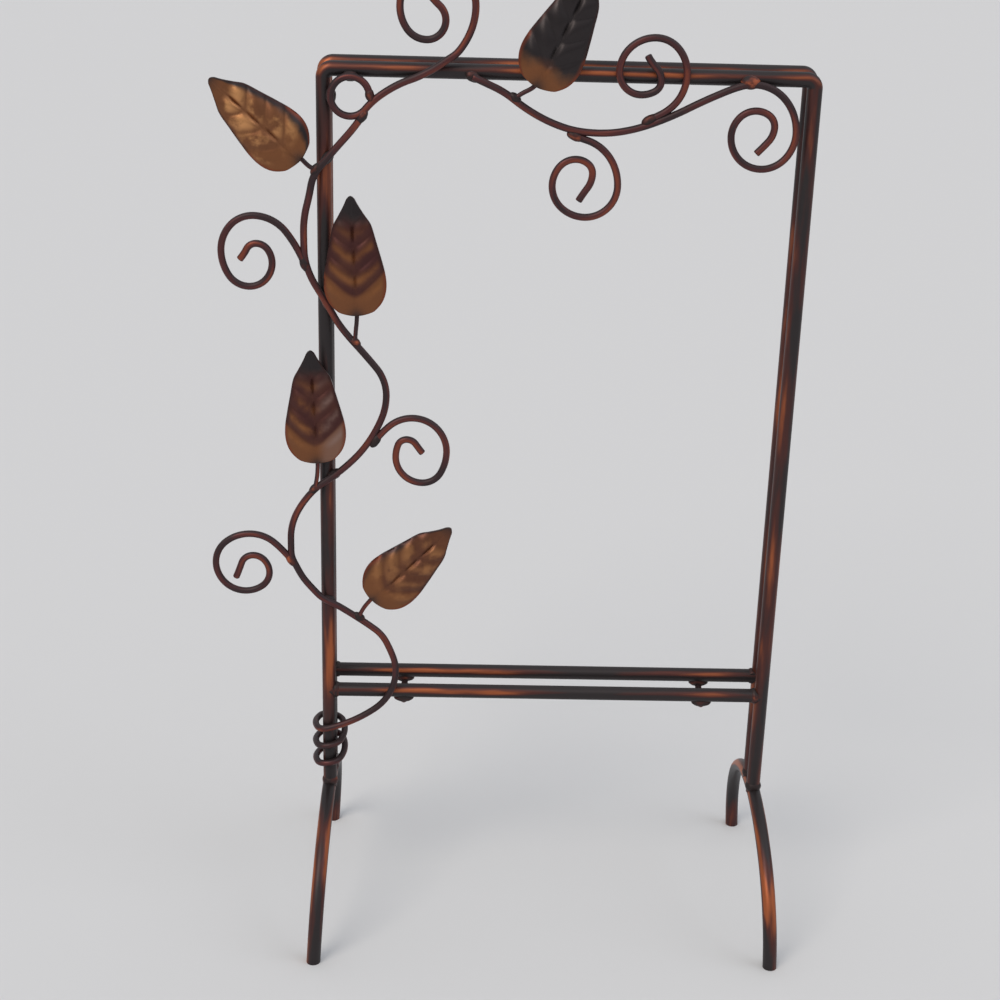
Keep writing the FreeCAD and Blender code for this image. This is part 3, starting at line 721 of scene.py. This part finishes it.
def leaf_point(along, across, length, tones):
    """The leaf's height and half width at a place, and the marks there that its finish reads."""
    width_share = half_width_at(along)
    blunt_base = max(0.0, 1 - along / base_round_share)
    blunt_tip = max(0.0, 1 - (1 - along) / tip_round_share)
    rounding = math.sqrt(max(0.0, 1 - blunt_base**round_power - blunt_tip**round_power))
    width_share *= max(least_round_share, rounding)
    out_share = width_share * across
    sweep = pillow_slope * abs(out_share) ** pillow_sweep_power * leaf_width / 2
    row = (along * length - sweep) / pillow_pitch
    in_row = row % 1
    crossing = 1 - abs(2 * in_row - 1) ** pillow_row_power
    lengthwise = 1 - abs(2 * abs(across) - 1) ** pillow_side_power
    ends = between(*pillows_begin_shares, along) * (1 - between(*pillows_end_shares, along))
    raised = crossing * lengthwise * ends
    height = leaf_dome * (math.sin(math.pi * math.sqrt(along)) - out_share**2)
    height -= leaf_groove * width_share * math.exp(-((across / groove_share) ** 2))
    height += pillow_height * (raised - pillow_sink_share * ends)
    off_chevron = (in_row - chevron_middle_share) / chevron_breadth_share
    chevron = math.exp(-(off_chevron**2)) * ends
    chevron *= 1 - between(*chevron_side_shares, abs(across))
    chevron *= 1 - between(*chevron_tip_shares, along)
    chevron *= 1 - between(*chevron_gilt_shares, tones["gilt"])
    off_weld = (along / weld_mark_length_share) ** 2 + (out_share / weld_mark_width_share) ** 2
    marks = {
        "gilt": tones["gilt"],
        "chevron": chevron,
        "pillow": raised * between(*pillow_gilt_shares, tones["gilt"]),
        "foot": 1 - between(*foot_row_shares, row),
        "tip_reach": along - tones["dark_from"],
        "side_reach": across * tones["dark_side"],
        # Painted reflection: how far across the leaf is towards the side that takes it.
        "reflection_reach": across * tones["reflection_side"],
        "rim_reach": abs(across),
        "weld_mark": math.exp(-off_weld),
    }
    return height, out_share, marks


# The sheet is copper that was gilt over dark lacquer and rubbed back: golden crests on its pillows, or
# chevrons of ochre on a leaf with little gilt, over maroon; both are rubbed gilt with a painted highlight
# in them. It is near black at its tip and darker at its rim and along one side, and one side carries a
# pale lilac painted reflection. Its brush marks are too fine to show, and are drawn as a ripple of 0.8 mm.
leaf_maroon = "#4b2a29"
leaf_gold = "#7f5235"
leaf_foot = "#825334"
# The ochre of the chevrons: rubbed gilt with a painted highlight in it.
leaf_ochre_and_highlight = "#8a5732"
# Painted highlight: the bright gold on the crests of the pillows.
leaf_painted_highlight_gold = "#d89c66"
# Painted reflection: the grey lilac on one side of the leaf.
leaf_reflection_lilac = "#94796f"
leaf_black = "#332e2f"
leaf_rim = "#3f2725"
leaf_rim_red = "#7a3a25"
mottle_size = 6 * mm
mottle_detail = 4.0
mottle_breakup = 0.55
gilt_ripple = 0.8 * mm
gilt_ripple_detail = 3.0
gilt_depth = 0.05 * mm
gilt_bump = 0.3
gilt_dull = 0.50
gilt_bright = 0.24
gilt_metallic = 0.75
mark_names = [
    "gilt", "chevron", "pillow", "foot", "tip_reach", "side_reach", "reflection_reach", "rim_reach", "weld_mark",
]
gilt_copper = bpy.data.materials.new("stamped_copper_sheet_gilt_over_dark_lacquer")
gilt_copper.use_nodes = True
gilt_tree = gilt_copper.node_tree
gilt_shader = gilt_tree.nodes["Principled BSDF"]
gilt_shader.inputs["Metallic"].default_value = gilt_metallic
leaf_place = add(gilt_tree, "ShaderNodeTexCoord")
mottle = add(
    gilt_tree, "ShaderNodeTexNoise",
    {
        "Vector": leaf_place.outputs["Object"], "Scale": 1 / mottle_size, "Detail": mottle_detail,
        "Roughness": mottle_breakup,
    },
)
shares = {"mottle": mottle.outputs["Fac"]}
for name in mark_names:
    shares[name] = add(gilt_tree, "ShaderNodeAttribute", attribute_name=name).outputs["Fac"]

# Each of these shares grows to its most as a mark goes from one value to another, and its edge is made
# ragged by the mottle. A row holds the mark, how ragged the edge is, both values and the most.
edge_table = {
    "gilding": ("gilt", 0.8, 0.3, 1.4, 1.0),
    "crest_gilt_and_highlight": ("gilt", 0.5, 0.2, 1.25, 1.0),
    "pale": ("reflection_reach", 0.0, 0.0, 0.5, 1.0),
    "chevron_wear": ("mottle", 0.0, 0.25, 0.62, 0.8),
    "pillow_wear": ("mottle", 0.0, 0.42, 0.60, 0.95),
    "dark_tip": ("tip_reach", 0.22, 0.04, 0.2, 1.0),
    "dark_side": ("side_reach", 0.5, 0.86, 1.12, 1.0),
    "rim": ("rim_reach", 0.0, 0.84, 1.0, 0.8),
}
for name, (mark, ragged, low, high, most) in edge_table.items():
    ragged_mark = add(
        gilt_tree, "ShaderNodeMath", {0: shares["mottle"], 1: ragged, 2: shares[mark]},
        operation="MULTIPLY_ADD",
    )
    edge = add(
        gilt_tree, "ShaderNodeMapRange",
        {"Value": ragged_mark.outputs[0], "From Min": low, "From Max": high, "To Max": most},
        interpolation_type="SMOOTHSTEP",
    )
    shares[name] = edge.outputs[0]

# These shares are a mark or share times others, or times a strength.
product_table = {
    "gold_foot": ("foot", 0.85),
    "reflection_foot": ("pale", "foot", 0.4),
    "chevron_wear_and_highlight": ("chevron", "chevron_wear"),
    "pillow_wear_and_highlight": ("pillow", "pillow_wear"),
    "weld_scorch": ("weld_mark", 0.8),
}
for name, (first, *others) in product_table.items():
    shares[name] = shares[first]
    for other in others:
        product = add(
            gilt_tree, "ShaderNodeMath", {0: shares[name], 1: shares.get(other, other)},
            operation="MULTIPLY",
        )
        shares[name] = product.outputs[0]
crests = add(
    gilt_tree, "ShaderNodeMath", {0: shares["chevron_wear_and_highlight"], 1: shares["pillow_wear_and_highlight"]},
    operation="MAXIMUM",
)
shares["crest"] = crests.outputs[0]

# Each coat starts from its ground colour, and its layers go over it by their shares, in this order.
# The crest coat is rubbed gilt with a painted highlight in it, and its lilac layer is a painted reflection.
coat_table = {
    "crest_highlight_coat": (leaf_ochre_and_highlight, [("crest_gilt_and_highlight", leaf_painted_highlight_gold), ("pale", leaf_reflection_lilac)]),
    "rim_coat": (leaf_rim, [("foot", leaf_rim_red)]),
    "leaf_coat": (leaf_maroon, [
        # The pale foot layer is a painted reflection in grey lilac.
        ("gilding", leaf_gold), ("gold_foot", leaf_foot), ("reflection_foot", leaf_reflection_lilac), ("crest", "crest_highlight_coat"),
        ("dark_tip", leaf_black), ("dark_side", leaf_black), ("rim", "rim_coat"), ("weld_scorch", leaf_black),
    ]),
}
coats = {}
for name, (ground, layers) in coat_table.items():
    colour = linear(ground)
    for share, layer in layers:
        layer_colour = coats[layer] if layer in coats else linear(layer)
        covered = add(
            gilt_tree, "ShaderNodeMix", {0: shares[share], 6: colour, 7: layer_colour}, data_type="RGBA"
        )
        colour = covered.outputs[2]
    coats[name] = colour
gilt_tree.links.new(coats["leaf_coat"], gilt_shader.inputs["Base Color"])
leaf_gloss = add(
    gilt_tree, "ShaderNodeMapRange", {"Value": shares["mottle"], "To Min": gilt_dull, "To Max": gilt_bright}
)
gilt_tree.links.new(leaf_gloss.outputs[0], gilt_shader.inputs["Roughness"])
leaf_grain = add(
    gilt_tree, "ShaderNodeTexNoise",
    {"Vector": leaf_place.outputs["Object"], "Scale": 1 / gilt_ripple, "Detail": gilt_ripple_detail},
)
leaf_relief = add(
    gilt_tree, "ShaderNodeBump",
    {"Strength": gilt_bump, "Distance": gilt_depth, "Height": leaf_grain.outputs["Fac"]},
)
gilt_tree.links.new(leaf_relief.outputs[0], gilt_shader.inputs["Normal"])


def stamped_leaf(name, base, degrees, length, tones):
    """A leaf from its base, of one sheet with a front, a back and a rim."""
    along_way = way(degrees) * length
    across_way = way(degrees - 90) * (leaf_width / 2)
    corners = []
    values = {}
    for thickness in (leaf_sheet, 0):
        for row in range(leaf_rows + 1):
            along = (1 - math.cos(math.pi * row / leaf_rows)) / 2
            for column in range(leaf_columns + 1):
                across = 2 * column / leaf_columns - 1
                height, out_share, marks = leaf_point(along, across, length, tones)
                front = to_back * -(height + thickness)
                corners.append(base + along_way * along + across_way * out_share + front)
                for mark, number in marks.items():
                    values.setdefault(mark, []).append(number)
    columns = leaf_columns + 1
    back = columns * (leaf_rows + 1)
    faces = []
    for row in range(leaf_rows):
        for column in range(leaf_columns):
            first = row * columns + column
            faces.append((first, first + 1, first + columns + 1, first + columns))
            faces.append((back + first, back + first + columns, back + first + columns + 1, back + first + 1))
    rim_line = list(range(columns))
    rim_line += [row * columns + leaf_columns for row in range(1, leaf_rows + 1)]
    rim_line += [leaf_rows * columns + column for column in range(leaf_columns - 1, -1, -1)]
    rim_line += [row * columns for row in range(leaf_rows - 1, 0, -1)]
    for first, second in zip(rim_line, rim_line[1:] + rim_line[:1]):
        faces.append((first, back + first, back + second, second))
    mesh = bpy.data.meshes.new(name)
    mesh.from_pydata(corners, [], faces)
    for attribute, numbers in values.items():
        mesh.attributes.new(attribute, "FLOAT", "POINT").data.foreach_set("value", numbers)
    mesh.polygons.foreach_set("use_smooth", [True] * len(mesh.polygons))
    mesh.materials.append(gilt_copper)
    shape = bmesh.new()
    shape.from_mesh(mesh)
    face_out(shape, mesh)
    leaf = bpy.data.objects.new(name, mesh)
    bpy.context.scene.collection.objects.link(leaf)
    return leaf


# Each leaf's base beside and above its foot on the vine, its length, the headings of its stalk and of
# the leaf, and its tones: how much gilt, where the tip goes dark, which side is darker, and which side
# takes the pale painted reflection.
leaf_table = [
    ("corner_leaf", (-0.125, 0.0875), 0.955, 165, 139, (0.85, 0.93, 1.0, 0.0)),
    ("upper_leaf", (0.019, 0.256), 1.0, 88, 93, (0.05, 0.80, 0.0, 0.0)),
    ("middle_leaf", (0.0375, 0.269), 1.0, 72, 93, (0.12, 0.78, 0.0, 1.0)),
    ("low_leaf", (0.119, 0.203), 0.98, 75, 45, (0.50, 0.95, -0.8, 0.0)),
    ("top_leaf", (0.175, 0.106), 1.0, 42, 64, (0.45, 0.17, -0.7, 0.0)),
]
knot_lump = (3.8 * mm, 2.4 * mm)
for name, (right, above), length_share, stalk_degrees, degrees, tone_shares in leaf_table:
    foot, foot_way = vine_stations[name]
    base = foot + Vector((right, 0, above)) * leaf_length
    base.y = leaf_y
    tones = dict(zip(("gilt", "dark_from", "dark_side", "reflection_side"), tone_shares))
    leaf = stamped_leaf(name + "_sheet", base, degrees, length_share * leaf_length, tones)
    seat(leaf, "copper_leaf", name)
    stalk_start = Vector((foot.x, stalk_y, foot.z))
    stalk_end = Vector((base.x, stalk_y, base.z)) + way(degrees) * stalk_lap
    stalk_points = bent([(stalk_start, way(stalk_degrees)), (stalk_end, way(degrees))])
    stalk = stock(name + "_stalk_wire", stalk_points, stalk_radius, stalk_sides, wire_finish, stalk_tip)
    seat(stalk, "bronzed_wire", name + "_stalk")
    knot_rows.append((foot + way(stalk_degrees) * wire_radius / 2, foot_way, knot_lump, unscorched))


# Vine welds: a knot of weld metal at the foot of every scroll and stalk and where the ring closes, and
# tacks behind the vine wherever it crosses a post or the top rod. The one on the branch's crest ran
# forward over the wire and was burnt to rust.

tack_lump = (4.2 * mm, 2.8 * mm)
crest_lump = (5 * mm, 3.6 * mm)
crest_shift = 1 * mm
crest_scorch = 1.0
stem_end, stem_end_way = stem_stations["end"]
ring_first, ring_first_way = ring_stations[0]
knot_rows.append((stem_end, stem_end_way, joint_lump, unscorched))
knot_rows.append((ring_first - ring_first_way * wire_radius, ring_first_way, knot_lump, unscorched))
lumps("vine_weld_knot_lumps", "vine_weld_knots", knot_rows)
tack_back = to_back * (wire_radius + weld_seam)
tack_seats = [stem_stations[name] for name in ("low_post", "middle_post", "upper_post", "corner_post")]
tack_seats.append(branch_stations["start"])
tack_seats.append((ring_centre - to_right * ring_radius, up))
tack_seats.append((ring_centre + up * ring_radius, to_right))
tack_rows = [(at + tack_back, at_way, tack_lump, unscorched) for at, at_way in tack_seats]
crest_seat = crest + tack_back / 2 + up * wire_radius / 2 - to_right * crest_shift
tack_rows.append((crest_seat, crest_way, crest_lump, crest_scorch))
lumps("vine_tack_weld_lumps", "vine_tack_welds", tack_rows)


# Floor, light and camera: a pale floor, a bright sky above it and two wide soft lamps, from the front
# left and the right. The camera stands where the picture was taken, with the same lens and tilt.

floor_half = 12.0
floor_grey = "#d3d4d5"
floor_roughness = 0.95
floor_specular = 0.1
floor_corners = [(x * floor_half, y * floor_half, 0) for x, y in ((-1, -1), (1, -1), (1, 1), (-1, 1))]
floor_mesh = bpy.data.meshes.new("floor")
floor_mesh.from_pydata(floor_corners, [], [(0, 1, 2, 3)])
floor = bpy.data.objects.new("floor", floor_mesh)
bpy.context.scene.collection.objects.link(floor)
floor_finish = bpy.data.materials.new("pale_matt_board")
floor_finish.use_nodes = True
floor_shader = floor_finish.node_tree.nodes["Principled BSDF"]
floor_shader.inputs["Base Color"].default_value = linear(floor_grey)
floor_shader.inputs["Roughness"].default_value = floor_roughness
floor_shader.inputs["Specular IOR Level"].default_value = floor_specular
floor_mesh.materials.append(floor_finish)

sky_white = "#fafbff"
sky_low = 0.32
sky_high = 0.85
sky = bpy.data.worlds.new("studio_sky")
bpy.context.scene.world = sky
sky.use_nodes = True
sky_tree = sky.node_tree
sky_way = add(sky_tree, "ShaderNodeTexCoord")
sky_slope = add(sky_tree, "ShaderNodeSeparateXYZ", {0: sky_way.outputs["Generated"]})
sky_level = add(
    sky_tree, "ShaderNodeMapRange", {"Value": sky_slope.outputs["Z"], "To Min": sky_low, "To Max": sky_high}
)
sky_tree.links.new(sky_level.outputs[0], sky_tree.nodes["Background"].inputs["Strength"])
sky_tree.nodes["Background"].inputs["Color"].default_value = linear(sky_white)

# Each lamp's way from the object, its strength, the width of its light in degrees and its colour.
lamp_table = [
    ("front_left_lamp", Vector((-0.7, -0.9, 1.15)), 1.15, 30, "#fff6ea"),
    ("right_lamp", Vector((0.9, -0.35, 0.8)), 0.45, 40, "#f2f6ff"),
]
for name, towards, strength, spread_degrees, colour in lamp_table:
    lamp = bpy.data.lights.new(name, "SUN")
    lamp.energy = strength
    lamp.angle = math.radians(spread_degrees)
    lamp.color = linear(colour)[:3]
    stand = bpy.data.objects.new(name, lamp)
    stand.rotation_euler = towards.to_track_quat("Z", "Y").to_euler()
    bpy.context.scene.collection.objects.link(stand)

camera_place = Vector((-26.6, -459.4, 303.1)) * mm
camera_yaw = math.radians(1.459)
camera_pitch = math.radians(20.841)
camera_roll = math.radians(1.599)
focal_pixels = 1735.6
frame_pixels = 1000
nearest_seen = 10 * mm
lens = bpy.data.cameras.new("camera")
lens.lens = focal_pixels / frame_pixels * lens.sensor_width
lens.clip_start = nearest_seen
camera = bpy.data.objects.new("camera", lens)
aim = Matrix.Rotation(-camera_yaw, 4, "Z") @ Matrix.Rotation(math.pi / 2 - camera_pitch, 4, "X")
camera.matrix_world = Matrix.Translation(camera_place) @ aim @ Matrix.Rotation(camera_roll, 4, "Z")
bpy.context.scene.collection.objects.link(camera)
bpy.context.scene.camera = camera
bpy.context.scene.view_settings.view_transform = "Standard"
